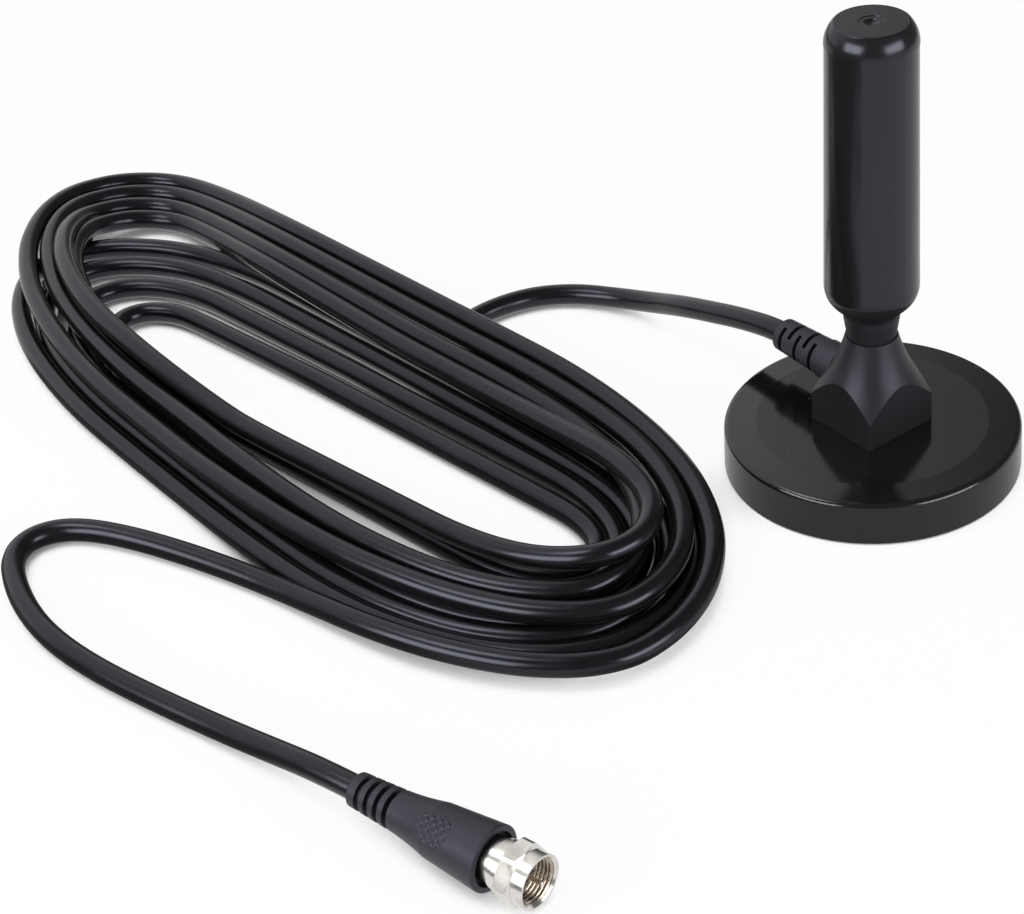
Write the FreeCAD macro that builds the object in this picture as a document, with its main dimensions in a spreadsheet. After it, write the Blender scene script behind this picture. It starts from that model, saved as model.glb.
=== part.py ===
"""Indoor TV antenna: a short mast on a cone-topped hub and a round magnetic base, with a coiled coax cable.

The frame has its origin under the middle of the base, +Z up the mast, and the cable leaves the hub
towards -X. All lengths are in millimetres.
"""

import FreeCAD
import Part
import Sketcher

import math
import os
from types import SimpleNamespace

# Driving dimensions

DIMENSIONS = {
    # Round base: a pressed cup over a ring magnet
    "base_top_rad": 31.3,
    "base_draft": 0.2,
    "base_flat_rad": 24.5,
    "base_height": 10.1,
    "base_rim_drop": 0.4,
    "base_edge_bend": 1.2,
    "base_wall": 1.5,
    "cup_lift": 0.3,
    "pad_thick": 0.8,
    "pad_inset": 0.3,
    "magnet_inset": 0.8,
    "magnet_bevel": 0.5,
    "yoke_thick": 2.0,
    "yoke_inset": 0.5,
    # Corner screws that hold the hub on the cup
    "screw_offset": 6.6,
    "screw_rad": 1.4,
    "screw_grip": 7.0,
    "screw_head_rad": 2.6,
    "screw_head_high": 1.8,
    "screw_clear": 0.1,
    "head_clear": 0.5,
    # Square hub with a pencil-point top
    "hub_side": 18.0,
    "hub_high": 21.1,
    "hub_corner_high": 6.5,
    "hub_rim_rad": 5.5,
    "hub_hollow_bend": 45.0,
    "hub_edge_bend": 0.5,
    "hollow_side": 10.0,
    "socket_deep": 6.0,
    "socket_web": 2.0,
    "wire_hole_rad": 1.6,
    "exit_rise": 8.5,
    # Mast tube and its domed cap
    "neck_rad": 5.15,
    "neck_top_rad": 5.85,
    "neck_high": 4.6,
    "neck_bend": 3.6,
    "foot_bend": 6.1,
    "mast_foot_rad": 9.78,
    "mast_top_rad": 9.17,
    "mast_length": 53.6,
    "mast_wall": 1.6,
    "mast_floor": 0.6,
    "spigot_rad": 4.5,
    "spigot_short": 0.1,
    "slip_fit": 0.05,
    "cap_rad": 9.27,
    "cap_high": 4.4,
    "cap_edge_rad": 7.45,
    "cap_edge_bend": 0.5,
    "cap_plug_deep": 5.0,
    "cap_plug_wall": 1.5,
    "gate_rad": 2.6,
    "gate_deep": 0.15,
    "dimple_rad": 1.6,
    "dimple_deep": 0.6,
    # Radiating element inside the mast
    "board_thick": 1.2,
    "board_back": 0.5,
    "foil_thick": 0.3,
    "foil_wide": 8.0,
    "foil_margin": 3.0,
    "wire_rad": 0.5,
    "wire_lap": 6.0,
    # Moulded strain relief in the hub's side
    "relief_flange_rad": 3.6,
    "relief_flange_thick": 1.3,
    "relief_neck_rad": 2.9,
    "relief_collar_rad": 4.4,
    "relief_collar_long": 4.6,
    "relief_root_rad": 4.15,
    "relief_tip_rad": 3.65,
    "relief_sleeve_long": 13.4,
    "relief_core_rad": 2.8,
    "slot_wide": 1.0,
    "slot_first": 1.1,
    "slot_pitch": 2.4,
    "slot_sweep": 210.0,
    "slot_turn": 50.0,
    # Coax cable and the hank that it is wound in
    "cable_dia": 5.0,
    "hank_left_x": -187.5,
    "hank_y": -78.5,
    "hank_span": 166.0,
    "hank_left_rad": 40.5,
    "hank_right_rad": 48.0,
    "hank_lift": 0.1,
    "hank_high": 10.3,
    "hank_edge_bend": 3.0,
    "hole_shift_x": 38.0,
    "hole_shift_y": -3.5,
    "hole_span": 124.0,
    "hole_left_rad": 9.0,
    "hole_right_rad": 8.0,
    # F plug on the far end
    "plug_x": 18.1,
    "plug_y": -144.7,
    "plug_turn": 14.7,
    "plug_lift": 0.1,
    "boot_long": 32.3,
    "boot_tail_rad": 3.4,
    "boot_tail_bevel": 0.5,
    "boot_waist_rad": 4.0,
    "boot_waist_at": 11.0,
    "boot_flare_rad": 5.4,
    "boot_flare_at": 19.5,
    "boot_flare_bend": 60.0,
    "boot_mouth_rad": 6.45,
    "boot_mouth_bend": 0.35,
    "boot_recess_rad": 5.3,
    "boot_recess_deep": 1.6,
    "ring_first": 2.3,
    "ring_pitch": 2.35,
    "ring_wide": 1.15,
    "ring_deep": 0.75,
    "collar_rad": 4.4,
    "collar_seat": 9.0,
    "collar_out": 2.7,
    "collar_lip_rad": 4.75,
    "collar_lip_long": 0.9,
    "post_rad": 3.1,
    "post_flange_rad": 4.1,
    "post_flange_thick": 0.8,
    "core_rad": 2.3,
    "journal_rad": 3.5,
    "run_clear": 0.08,
    "end_clear": 0.15,
    "nut_flats": 11.0,
    "nut_corner_rad": 6.1,
    "nut_hex_long": 2.5,
    "nut_tail_rad": 5.05,
    "nut_tail_long": 1.15,
    "nut_ring_rad": 5.25,
    "nut_long": 7.2,
    "nut_lip_thick": 1.4,
    "nut_bore_rad": 4.4,
    "nut_step": 0.5,
    "nut_mouth_bevel": 0.4,
    "pin_rad": 0.5,
    "pin_out": 0.8,
    "pin_bevel": 0.2,
}

# Counts of repeated features
SCREW_COUNT = 4
BOOT_RING_COUNT = 4
LOW_SLOT_COUNT = 3
HIGH_SLOT_COUNT = 2
NUT_SIDES = 6

# Points that the cable follows on its way from the strain relief to the hank
LEAD_POINTS = [
    (-43.0, 0.0, 15.9),
    (-52.0, 0.0, 13.3),
    (-62.0, 0.0, 10.4),
    (-74.0, 1.0, 5.6),
    (-85.0, -1.0, 2.9),
    (-94.5, -6.8, 2.6),
    (-101.0, -15.5, 2.6),
    (-103.3, -26.0, 2.6),
    (-103.3, -35.0, 2.6),
]

# Points that it follows from the hank, through one tight fold, to the plug
TAIL_POINTS = [
    (-34.0, -118.0, 2.6),
    (-46.0, -121.5, 2.6),
    (-58.0, -125.4, 2.6),
    (-71.0, -130.3, 2.6),
    (-83.0, -135.7, 2.6),
    (-92.0, -141.1, 2.6),
    (-97.1, -146.7, 2.6),
    (-98.2, -153.2, 2.6),
    (-94.4, -158.6, 2.6),
    (-87.0, -161.9, 2.6),
    (-76.0, -164.4, 2.6),
    (-64.0, -164.9, 2.6),
    (-50.0, -162.8, 2.6),
    (-34.0, -158.4, 2.6),
    (-18.0, -153.5, 2.8),
    (-4.0, -149.8, 4.2),
]

# Straight runs of cable at the strain relief and at the plug
EXIT_RUN = 4.0
PLUG_RUN = 9.0

# Share of the shorter run that each bend of a cable or wire takes up
BEND_SHARE = 0.45


class Size:
    """A length that carries its value and the sheet formula that drives it."""

    def __init__(self, value, text):
        self.value = value
        self.text = text

    def __add__(self, other):
        return Size(self.value + other.value, f"({self.text} + {other.text})")

    def __sub__(self, other):
        return Size(self.value - other.value, f"({self.text} - {other.text})")

    def __mul__(self, other):
        return Size(self.value * other.value, f"({self.text} * {other.text})")

    def __truediv__(self, other):
        return Size(self.value / other.value, f"({self.text} / {other.text})")


def number(value):
    """Turn a plain number into a Size."""
    return Size(float(value), repr(float(value)))


def root(size):
    """Take the square root of a Size."""
    return Size(math.sqrt(size.value), f"sqrt({size.text})")


ZERO = number(0)
TWO = number(2)


def make_sheet(doc):
    """Write the driving dimensions to a sheet and give each back as a Size."""
    sheet = doc.addObject("Spreadsheet::Sheet", "dims")
    sizes = {}
    for row, (alias, value) in enumerate(DIMENSIONS.items(), start=1):
        sheet.set(f"A{row}", alias)
        sheet.set(f"B{row}", str(value))
        sheet.setAlias(f"B{row}", alias)
        sizes[alias] = Size(value, f"dims.{alias}")
    doc.recompute()
    return SimpleNamespace(**sizes)


def make_body(doc, name):
    """Start a new sub-part."""
    body = doc.addObject("PartDesign::Body", name)
    body.Label = name
    return body


def sketch_on(body, role, name, offset=None):
    """Start a sketch on one of the body's own origin planes."""
    sketch = body.newObject("Sketcher::SketchObject", name)
    plane = next(f for f in body.Origin.OriginFeatures if f.Role == role)
    sketch.AttachmentSupport = (plane, [""])
    sketch.MapMode = "FlatFace"
    if offset is not None:
        sketch.AttachmentOffset = offset
    return sketch


def drive(sketch, constraint, name, size):
    """Add a constraint whose datum follows the sheet."""
    index = sketch.addConstraint(constraint)
    sketch.renameConstraint(index, name)
    sketch.setExpression(f"Constraints.{name}", size.text)


def place_point(sketch, geo, pos, point, name):
    """Hold a point of the sketch at its two driven coordinates."""
    x, y = point
    if x is ZERO:
        sketch.addConstraint(Sketcher.Constraint("PointOnObject", geo, pos, -2))
    else:
        drive(sketch, Sketcher.Constraint("DistanceX", -1, 1, geo, pos, x.value), f"{name}_x", x)
    if y is ZERO:
        sketch.addConstraint(Sketcher.Constraint("PointOnObject", geo, pos, -1))
    else:
        drive(sketch, Sketcher.Constraint("DistanceY", -1, 1, geo, pos, y.value), f"{name}_y", y)


def arc_between(start, end, radius, left):
    """Arc from start to end of a given radius, with its centre on the left or right of the way."""
    chord = end - start
    middle = (start + end) * 0.5
    normal = FreeCAD.Vector(-chord.y, chord.x, 0).normalize()
    rise = math.sqrt(max(radius ** 2 - (chord.Length / 2) ** 2, 0.0))
    centre = middle + normal * (rise if left else -rise)
    first = math.atan2(start.y - centre.y, start.x - centre.x)
    last = math.atan2(end.y - centre.y, end.x - centre.x)
    circle = Part.Circle(centre, FreeCAD.Vector(0, 0, 1), radius)
    if left:
        return Part.ArcOfCircle(circle, first, last)
    return Part.ArcOfCircle(circle, last, first)


def outline(sketch, corners, bends=None, tag="p"):
    """Draw a closed outline through driven corners.

    bends gives, for the side that starts at a corner, a radius and whether the arc's centre lies
    on the left of the way along the outline.
    """
    bends = bends or {}
    flat = [FreeCAD.Vector(x.value, y.value, 0) for x, y in corners]
    starts, ends, geos = [], [], []
    for i, start in enumerate(flat):
        end = flat[(i + 1) % len(flat)]
        if i in bends:
            radius, left = bends[i]
            geos.append(sketch.addGeometry(arc_between(start, end, radius.value, left), False))
            starts.append(1 if left else 2)
            ends.append(2 if left else 1)
        else:
            geos.append(sketch.addGeometry(Part.LineSegment(start, end), False))
            starts.append(1)
            ends.append(2)
    for i in range(len(flat)):
        j = (i + 1) % len(flat)
        sketch.addConstraint(Sketcher.Constraint("Coincident", geos[i], ends[i], geos[j], starts[j]))
    for i, corner in enumerate(corners):
        place_point(sketch, geos[i], starts[i], corner, f"{tag}{i}")
    for i, (radius, _) in bends.items():
        drive(sketch, Sketcher.Constraint("Radius", geos[i], radius.value), f"{tag}{i}_r", radius)


def circle_at(sketch, centre, radius, tag="c"):
    """Draw a circle with a driven centre and radius."""
    middle = FreeCAD.Vector(centre[0].value, centre[1].value, 0)
    geo = sketch.addGeometry(Part.Circle(middle, FreeCAD.Vector(0, 0, 1), radius.value), False)
    place_point(sketch, geo, 3, centre, tag)
    drive(sketch, Sketcher.Constraint("Radius", geo, radius.value), f"{tag}_r", radius)


def box_corners(x0, x1, y0, y1):
    """Corners of an upright rectangle."""
    return [(x0, y0), (x1, y0), (x1, y1), (x0, y1)]


def turned(body, corners, bends=None, name="profile"):
    """Turn a half section, given as radius and height, about the body's Z axis."""
    sketch = sketch_on(body, "XZ_Plane", f"{name}_sketch")
    outline(sketch, corners, bends)
    feature = body.newObject("PartDesign::Revolution", name)
    feature.Profile = sketch
    feature.ReferenceAxis = (sketch, ["V_Axis"])
    feature.Angle = 360.0
    return feature


def turned_cut(body, corners, name, sweep=None, half_turn=False, bends=None):
    """Cut a turned groove, all round or over a sweep centred on +X or, half a turn on, on -X."""
    offset = None
    if half_turn:
        offset = FreeCAD.Placement(FreeCAD.Vector(), FreeCAD.Rotation(FreeCAD.Vector(0, 1, 0), 180))
    sketch = sketch_on(body, "XZ_Plane", f"{name}_sketch", offset)
    outline(sketch, corners, bends)
    feature = body.newObject("PartDesign::Groove", name)
    feature.Profile = sketch
    feature.ReferenceAxis = (sketch, ["V_Axis"])
    feature.Angle = 360.0
    if sweep is not None:
        feature.Midplane = True
        feature.setExpression("Angle", sweep.text)
    return feature


def pad_up(body, sketch, length, name):
    """Raise a sketch by a driven length."""
    feature = body.newObject("PartDesign::Pad", name)
    feature.Profile = sketch
    feature.setExpression("Length", length.text)
    return feature


def pocket_up(body, sketch, length, name):
    """Cut upwards from a sketch by a driven length."""
    feature = body.newObject("PartDesign::Pocket", name)
    feature.Profile = sketch
    feature.Type = "Length"
    feature.Reversed = True
    feature.setExpression("Length", length.text)
    return feature


def level(height):
    """Offset that lifts a sketch on the XY plane to a height."""
    return FreeCAD.Placement(FreeCAD.Vector(0, 0, height.value), FreeCAD.Rotation())


def lift_sketch(sketch, height):
    """Tie a sketch's height over its plane to the sheet."""
    sketch.setExpression("AttachmentOffset.Base.z", height.text)


def repeat_round(body, feature, count, name):
    """Repeat a feature about the body's Z axis."""
    pattern = body.newObject("PartDesign::PolarPattern", name)
    pattern.Originals = [feature]
    pattern.Axis = (axis_of(body, "Z_Axis"), [""])
    pattern.Angle = 360.0
    pattern.Occurrences = count
    body.Tip = pattern
    return pattern


def repeat_along(body, feature, pitch, count, name):
    """Repeat a feature along the body's Z axis at a driven pitch."""
    pattern = body.newObject("PartDesign::LinearPattern", name)
    pattern.Originals = [feature]
    pattern.Direction = (axis_of(body, "Z_Axis"), [""])
    pattern.setExpression("Length", f"{pitch.text} * {count - 1}")
    pattern.Occurrences = count
    body.Tip = pattern
    return pattern


def axis_of(body, role):
    """One of the body's own origin axes."""
    return next(f for f in body.Origin.OriginFeatures if f.Role == role)


def round_edges(body, base, picks, radius, name):
    """Round the edges of the last feature that a test picks."""
    feature = body.newObject("PartDesign::Fillet", name)
    names = [f"Edge{i}" for i, edge in enumerate(base.Shape.Edges, start=1) if picks(edge)]
    feature.Base = (base, names)
    feature.setExpression("Radius", radius.text)
    return feature


def is_ring(edge, radius, height):
    """Whether an edge is a circle of that radius about the Z axis at that height."""
    if edge.Degenerated or not isinstance(edge.Curve, Part.Circle):
        return False
    near = 0.01
    return abs(edge.Curve.Radius - radius) < near and abs(edge.Curve.Center.z - height) < near


# Base


def foot_radius(d):
    """Radius of the cup's wall at its foot, which the draft makes wider than the top."""
    return d.base_top_rad + d.base_draft


def make_base_cover(doc, d):
    """Pressed cup: flat middle, gently falling outer ring, rounded edge and a drafted wall."""
    body = make_body(doc, "base_cover")
    rim = d.base_height - d.base_rim_drop
    foot = foot_radius(d)
    corners = [
        (ZERO, d.base_height - d.base_wall),
        (d.base_flat_rad, d.base_height - d.base_wall),
        (d.base_top_rad - d.base_wall, rim - d.base_wall),
        (foot - d.base_wall, d.cup_lift),
        (foot, d.cup_lift),
        (d.base_top_rad, rim),
        (d.base_flat_rad, d.base_height),
        (ZERO, d.base_height),
    ]
    cup = turned(body, corners, name="cup")
    doc.recompute()
    edge = round_edges(
        body, cup, lambda e: is_ring(e, d.base_top_rad.value, rim.value), d.base_edge_bend, "rim_round"
    )
    body.Tip = edge
    doc.recompute()
    sketch = sketch_on(body, "XY_Plane", "screw_hole_sketch")
    circle_at(sketch, (d.screw_offset, d.screw_offset), d.screw_rad + d.screw_clear)
    hole = pocket_up(body, sketch, d.base_height * TWO, "screw_hole")
    repeat_round(body, hole, SCREW_COUNT, "screw_holes")
    return body


def screw_well(d):
    """Radius of the clear middle that the screw heads stand in."""
    return d.screw_offset * root(TWO) + d.screw_head_rad + d.head_clear


def make_base_yoke(doc, d):
    """Steel plate between the magnet and the cup."""
    body = make_body(doc, "base_yoke")
    ceiling = d.base_height - d.base_wall
    outer = d.base_flat_rad - d.yoke_inset
    turned(body, box_corners(screw_well(d), outer, ceiling - d.yoke_thick, ceiling), name="plate")
    return body


def make_base_magnet(doc, d):
    """Bevelled ferrite ring that fills the cup below the yoke."""
    body = make_body(doc, "base_magnet")
    inner = screw_well(d)
    outer = d.base_top_rad - d.base_wall - d.magnet_inset
    low = d.pad_thick
    high = d.base_height - d.base_wall - d.yoke_thick
    bevel = d.magnet_bevel
    corners = [
        (inner, low),
        (outer - bevel, low),
        (outer, low + bevel),
        (outer, high - bevel),
        (outer - bevel, high),
        (inner, high),
    ]
    turned(body, corners, name="ring")
    return body


def make_base_pad(doc, d):
    """Soft disc under the magnet that the antenna stands on."""
    body = make_body(doc, "base_pad")
    radius = foot_radius(d) - d.base_wall - d.pad_inset
    turned(body, box_corners(ZERO, radius, ZERO, d.pad_thick), name="disc")
    return body


# Hub


def make_hub(doc, d):
    """Square block cut to a slightly hollow cone on top, so that each face ends in a pencil-point arc."""
    body = make_body(doc, "hub")
    top = d.base_height + d.hub_high
    half = d.hub_side / TWO
    block_sketch = sketch_on(body, "XY_Plane", "block_sketch", centred_at(half, d.base_height))
    bind_centre(block_sketch, half, d.base_height)
    outline(block_sketch, box_corners(ZERO, d.hub_side, ZERO, d.hub_side))
    block = pad_up(body, block_sketch, d.hub_high, "block")
    doc.recompute()
    uprights = round_edges(body, block, is_upright, d.hub_edge_bend, "corner_round")
    body.Tip = uprights
    doc.recompute()

    corner_rad = half * root(TWO)
    fall = (d.hub_high - d.hub_corner_high) / (corner_rad - d.hub_rim_rad)
    reach = corner_rad + d.hub_edge_bend
    cone = [(d.hub_rim_rad, top), (reach, top), (reach, top - fall * (reach - d.hub_rim_rad))]
    turned_cut(body, cone, "pencil_point", bends={2: (d.hub_hollow_bend, False)})

    hollow_half = d.hollow_side / TWO
    hollow_high = d.hub_high - d.socket_deep - d.socket_web
    hollow_sketch = sketch_on(body, "XY_Plane", "hollow_sketch", centred_at(hollow_half, d.base_height))
    bind_centre(hollow_sketch, hollow_half, d.base_height)
    outline(hollow_sketch, box_corners(ZERO, d.hollow_side, ZERO, d.hollow_side))
    pocket_up(body, hollow_sketch, hollow_high, "hollow")

    socket_rad = d.spigot_rad + d.slip_fit
    socket = box_corners(ZERO, socket_rad, top - d.socket_deep, top)
    turned_cut(body, socket, "mast_socket")
    wire_way = box_corners(ZERO, d.wire_hole_rad, d.base_height + hollow_high, top - d.socket_deep)
    turned_cut(body, wire_way, "wire_way")

    screw_sketch = sketch_on(body, "XY_Plane", "screw_sketch", level(d.base_height))
    lift_sketch(screw_sketch, d.base_height)
    circle_at(screw_sketch, (d.screw_offset, d.screw_offset), d.screw_rad + d.slip_fit)
    pilot = pocket_up(body, screw_sketch, d.screw_grip + d.screw_clear, "screw_pilot")
    repeat_round(body, pilot, SCREW_COUNT, "screw_pilots")

    exit_sketch = sketch_on(body, "YZ_Plane", "exit_sketch")
    circle_at(exit_sketch, (ZERO, d.base_height + d.exit_rise), d.relief_neck_rad + d.slip_fit)
    cable_exit = body.newObject("PartDesign::Pocket", "cable_exit")
    cable_exit.Profile = exit_sketch
    cable_exit.Type = "Length"
    cable_exit.setExpression("Length", half.text)
    body.Tip = cable_exit
    return body


def centred_at(half, height):
    """Offset that puts a square of a given half side about the Z axis, at a height."""
    return FreeCAD.Placement(FreeCAD.Vector(-half.value, -half.value, height.value), FreeCAD.Rotation())


def bind_centre(sketch, half, height):
    """Tie that offset to the sheet."""
    sketch.setExpression("AttachmentOffset.Base.x", f"-1 * {half.text}")
    sketch.setExpression("AttachmentOffset.Base.y", f"-1 * {half.text}")
    sketch.setExpression("AttachmentOffset.Base.z", height.text)


def is_upright(edge):
    """Whether an edge stands along the Z axis."""
    way = edge.tangentAt(edge.FirstParameter)
    return abs(way.z) > 0.999


def make_hub_screws(doc, d):
    """Four pan head screws that come up through the cup into the hub's corners."""
    body = make_body(doc, "hub_screws")
    body.AllowCompound = True
    ceiling = d.base_height - d.base_wall
    head = sketch_on(body, "XY_Plane", "head_sketch", level(ceiling - d.screw_head_high))
    lift_sketch(head, ceiling - d.screw_head_high)
    circle_at(head, (d.screw_offset, d.screw_offset), d.screw_head_rad)
    head_pad = pad_up(body, head, d.screw_head_high, "head")
    shank = sketch_on(body, "XY_Plane", "shank_sketch", level(ceiling))
    lift_sketch(shank, ceiling)
    circle_at(shank, (d.screw_offset, d.screw_offset), d.screw_rad)
    shank_pad = pad_up(body, shank, d.base_wall + d.screw_grip, "shank")
    pattern = repeat_round(body, head_pad, SCREW_COUNT, "screws")
    pattern.Originals = [head_pad, shank_pad]
    return body


# Mast


def mast_levels(d):
    """Heights of the hub's top, the neck's bend, the tube's foot and the tube's top."""
    seat = d.base_height + d.hub_high
    bend = seat + d.neck_high
    reach = d.neck_bend + d.foot_bend
    across = d.neck_top_rad + d.neck_bend + d.foot_bend - d.mast_foot_rad
    foot = bend + root(reach * reach - across * across)
    return SimpleNamespace(seat=seat, bend=bend, foot=foot, top=foot + d.mast_length)


def mast_bore(d):
    """Radius of the tube's straight bore."""
    return d.mast_top_rad - d.mast_wall


def make_mast_tube(doc, d):
    """One moulding: plug-in spigot, tapered neck that flares to a rounded foot, and a drafted tube."""
    body = make_body(doc, "mast_tube")
    at = mast_levels(d)
    share = d.neck_bend / (d.neck_bend + d.foot_bend)
    bend_x = d.neck_top_rad + d.neck_bend
    foot_x = d.mast_foot_rad - d.foot_bend
    turn_x = bend_x - share * (bend_x - foot_x)
    turn_z = at.bend + share * (at.foot - at.bend)
    corners = [
        (d.wire_hole_rad, at.seat - d.socket_deep + d.spigot_short),
        (d.spigot_rad, at.seat - d.socket_deep + d.spigot_short),
        (d.spigot_rad, at.seat),
        (d.neck_rad, at.seat),
        (d.neck_top_rad, at.bend),
        (turn_x, turn_z),
        (d.mast_foot_rad, at.foot),
        (d.mast_top_rad, at.top),
        (mast_bore(d), at.top),
        (mast_bore(d), at.foot + d.mast_floor),
        (d.wire_hole_rad, at.foot + d.mast_floor),
    ]
    bends = {4: (d.neck_bend, False), 5: (d.foot_bend, True)}
    turned(body, corners, bends, name="moulding")
    return body


def arc_radius(across, deep):
    """Radius of an arc that starts square to one side of a corner and ends on the other."""
    return (across * across + deep * deep) / (deep * TWO)


def make_mast_cap(doc, d):
    """End cap with rounded shoulders, a flat top with a soft edge, a dimpled gate mark and a hollow plug."""
    body = make_body(doc, "mast_cap")
    at = mast_levels(d)
    plug_rad = mast_bore(d) - d.slip_fit
    top = at.top + d.cap_high
    gate = top - d.gate_deep
    corners = [
        (ZERO, at.top),
        (plug_rad - d.cap_plug_wall, at.top),
        (plug_rad - d.cap_plug_wall, at.top - d.cap_plug_deep),
        (plug_rad, at.top - d.cap_plug_deep),
        (plug_rad, at.top),
        (d.cap_rad, at.top),
        (d.cap_edge_rad, top),
        (d.gate_rad, top),
        (d.gate_rad - d.gate_deep, gate),
        (d.dimple_rad, gate),
        (ZERO, gate - d.dimple_deep),
    ]
    shoulder = arc_radius(d.cap_high, d.cap_rad - d.cap_edge_rad)
    dimple = arc_radius(d.dimple_rad, d.dimple_deep)
    dome = turned(body, corners, {5: (shoulder, True), 9: (dimple, False)}, name="dome")
    doc.recompute()
    body.Tip = round_edges(
        body, dome, lambda e: is_ring(e, d.cap_edge_rad.value, top.value), d.cap_edge_bend, "edge_round"
    )
    return body


# Radiating element


def element_span(d):
    """Foot and top of the board, between the tube's floor and the cap's plug."""
    at = mast_levels(d)
    low = at.foot + d.mast_floor
    high = at.top - d.cap_plug_deep - d.spigot_short
    return low, high


def board_half_width(d):
    """Half the width at which the board's far face just clears the tube's bore."""
    bore = mast_bore(d)
    far = d.board_back + d.board_thick
    return root(bore * bore - far * far) - d.slip_fit


def upright_plate(doc, name, half, front, thick, low, high):
    """Plate that stands in the mast, centred on X, with its front face at a given Y."""
    body = make_body(doc, name)
    offset = FreeCAD.Placement(FreeCAD.Vector(-half.value, front.value, low.value), FreeCAD.Rotation())
    sketch = sketch_on(body, "XY_Plane", f"{name}_sketch", offset)
    sketch.setExpression("AttachmentOffset.Base.x", f"-1 * {half.text}")
    sketch.setExpression("AttachmentOffset.Base.y", front.text)
    sketch.setExpression("AttachmentOffset.Base.z", low.text)
    outline(sketch, box_corners(ZERO, half * TWO, ZERO, thick))
    pad_up(body, sketch, high - low, f"{name}_plate")
    return body


def make_element_board(doc, d):
    """Circuit board that spans the tube's bore."""
    low, high = element_span(d)
    return upright_plate(doc, "element_board", board_half_width(d), d.board_back, d.board_thick, low, high)


def make_element_foil(doc, d):
    """Copper radiator on the board's front face."""
    low, high = element_span(d)
    front = d.board_back - d.foil_thick
    half = d.foil_wide / TWO
    return upright_plate(
        doc, "element_foil", half, front, d.foil_thick, low + d.foil_margin, high - d.foil_margin
    )


# Cables and wires


def bent_path(points):
    """Straight runs through the points joined by the largest even arcs, and the arcs' radii."""
    edges = []
    radii = []
    here = points[0]
    for before, corner, after in zip(points, points[1:], points[2:]):
        way_in = corner - before
        way_out = after - corner
        trim = BEND_SHARE * min(way_in.Length, way_out.Length)
        way_in.normalize()
        way_out.normalize()
        half_turn = way_in.getAngle(way_out) / 2
        radius = trim / math.tan(half_turn)
        start = corner - way_in * trim
        end = corner + way_out * trim
        inward = way_out - way_in
        inward.normalize()
        middle = corner + inward * (radius / math.cos(half_turn) - radius)
        edges.append(Part.LineSegment(here, start).toShape())
        edges.append(Part.Arc(start, middle, end).toShape())
        radii.append(radius)
        here = end
    edges.append(Part.LineSegment(here, points[-1]).toShape())
    return Part.Wire(edges), radii


def tube_along(doc, name, points, radius):
    """Round bar along a bent path, with its volume checked against section times length."""
    path, radii = bent_path(points)
    ring = Part.Circle(points[0], points[1] - points[0], radius).toShape()
    solid = path.makePipeShell([Part.Wire([ring])], True, False)
    expected = math.pi * radius ** 2 * path.Length
    print(name, "length", round(path.Length, 1), "radii", [round(r, 1) for r in radii])
    print(name, "volume ratio", round(solid.Volume / expected, 5))
    feature = doc.addObject("Part::Feature", name)
    feature.Label = name
    feature.Shape = solid
    return feature


def make_feed_wire(doc, d):
    """Wire from the strain relief, up through the neck, to the foot of the radiator."""
    low, _ = element_span(d)
    y = (d.board_back - d.foil_thick - d.wire_rad).value
    inner = relief_inner(d).value
    exit_z = (d.base_height + d.exit_rise).value
    top = (low + d.foil_margin + d.wire_lap).value
    points = [
        FreeCAD.Vector(-inner, y, exit_z),
        FreeCAD.Vector(0, y, exit_z),
        FreeCAD.Vector(0, y, top),
    ]
    return tube_along(doc, "feed_wire", points, d.wire_rad.value)


def relief_inner(d):
    """Distance from the mast's axis to the strain relief's inner face."""
    return d.hollow_side / TWO - d.relief_flange_thick - d.slip_fit


def relief_tip(d):
    """Distance from the mast's axis to the strain relief's tip."""
    return d.hub_side / TWO + d.relief_collar_long + d.relief_sleeve_long


def make_strain_relief(doc, d):
    """Moulded bush: flange and neck in the hub's wall, smooth collar, and a slotted tapering sleeve."""
    body = make_body(doc, "strain_relief")
    inner = relief_inner(d)
    wall_in = d.hollow_side / TWO - d.slip_fit
    face = d.hub_side / TWO
    sleeve = face + d.relief_collar_long
    tip = relief_tip(d)
    corners = [
        (ZERO, inner),
        (d.relief_flange_rad, inner),
        (d.relief_flange_rad, wall_in),
        (d.relief_neck_rad, wall_in),
        (d.relief_neck_rad, face),
        (d.relief_collar_rad, face),
        (d.relief_collar_rad, sleeve),
        (d.relief_root_rad, sleeve),
        (d.relief_tip_rad, tip),
        (ZERO, tip),
    ]
    turned(body, corners, name="bush")
    first = sleeve + d.slot_first
    outer = d.relief_collar_rad + d.slot_wide
    low = box_corners(d.relief_core_rad, outer, first, first + d.slot_wide)
    low_slot = turned_cut(body, low, "low_slot", d.slot_sweep, half_turn=True)
    repeat_along(body, low_slot, d.slot_pitch * TWO, LOW_SLOT_COUNT, "low_slots")
    second = first + d.slot_pitch
    high = box_corners(d.relief_core_rad, outer, second, second + d.slot_wide)
    high_slot = turned_cut(body, high, "high_slot", d.slot_sweep)
    repeat_along(body, high_slot, d.slot_pitch * TWO, HIGH_SLOT_COUNT, "high_slots")
    lay = FreeCAD.Rotation(FreeCAD.Vector(0, 1, 0), -90)
    turn = FreeCAD.Rotation(FreeCAD.Vector(0, 0, 1), d.slot_turn.value)
    place = FreeCAD.Vector(0, 0, (d.base_height + d.exit_rise).value)
    body.Placement = FreeCAD.Placement(place, lay.multiply(turn))
    return body


def make_cable_lead(doc, d):
    """Cable from the strain relief down to the hank."""
    exit_z = (d.base_height + d.exit_rise).value
    tip = relief_tip(d).value
    points = [FreeCAD.Vector(-tip, 0, exit_z), FreeCAD.Vector(-tip - EXIT_RUN, 0, exit_z)]
    points += [FreeCAD.Vector(*p) for p in LEAD_POINTS]
    return tube_along(doc, "cable_lead", points, d.cable_dia.value / 2)


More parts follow.
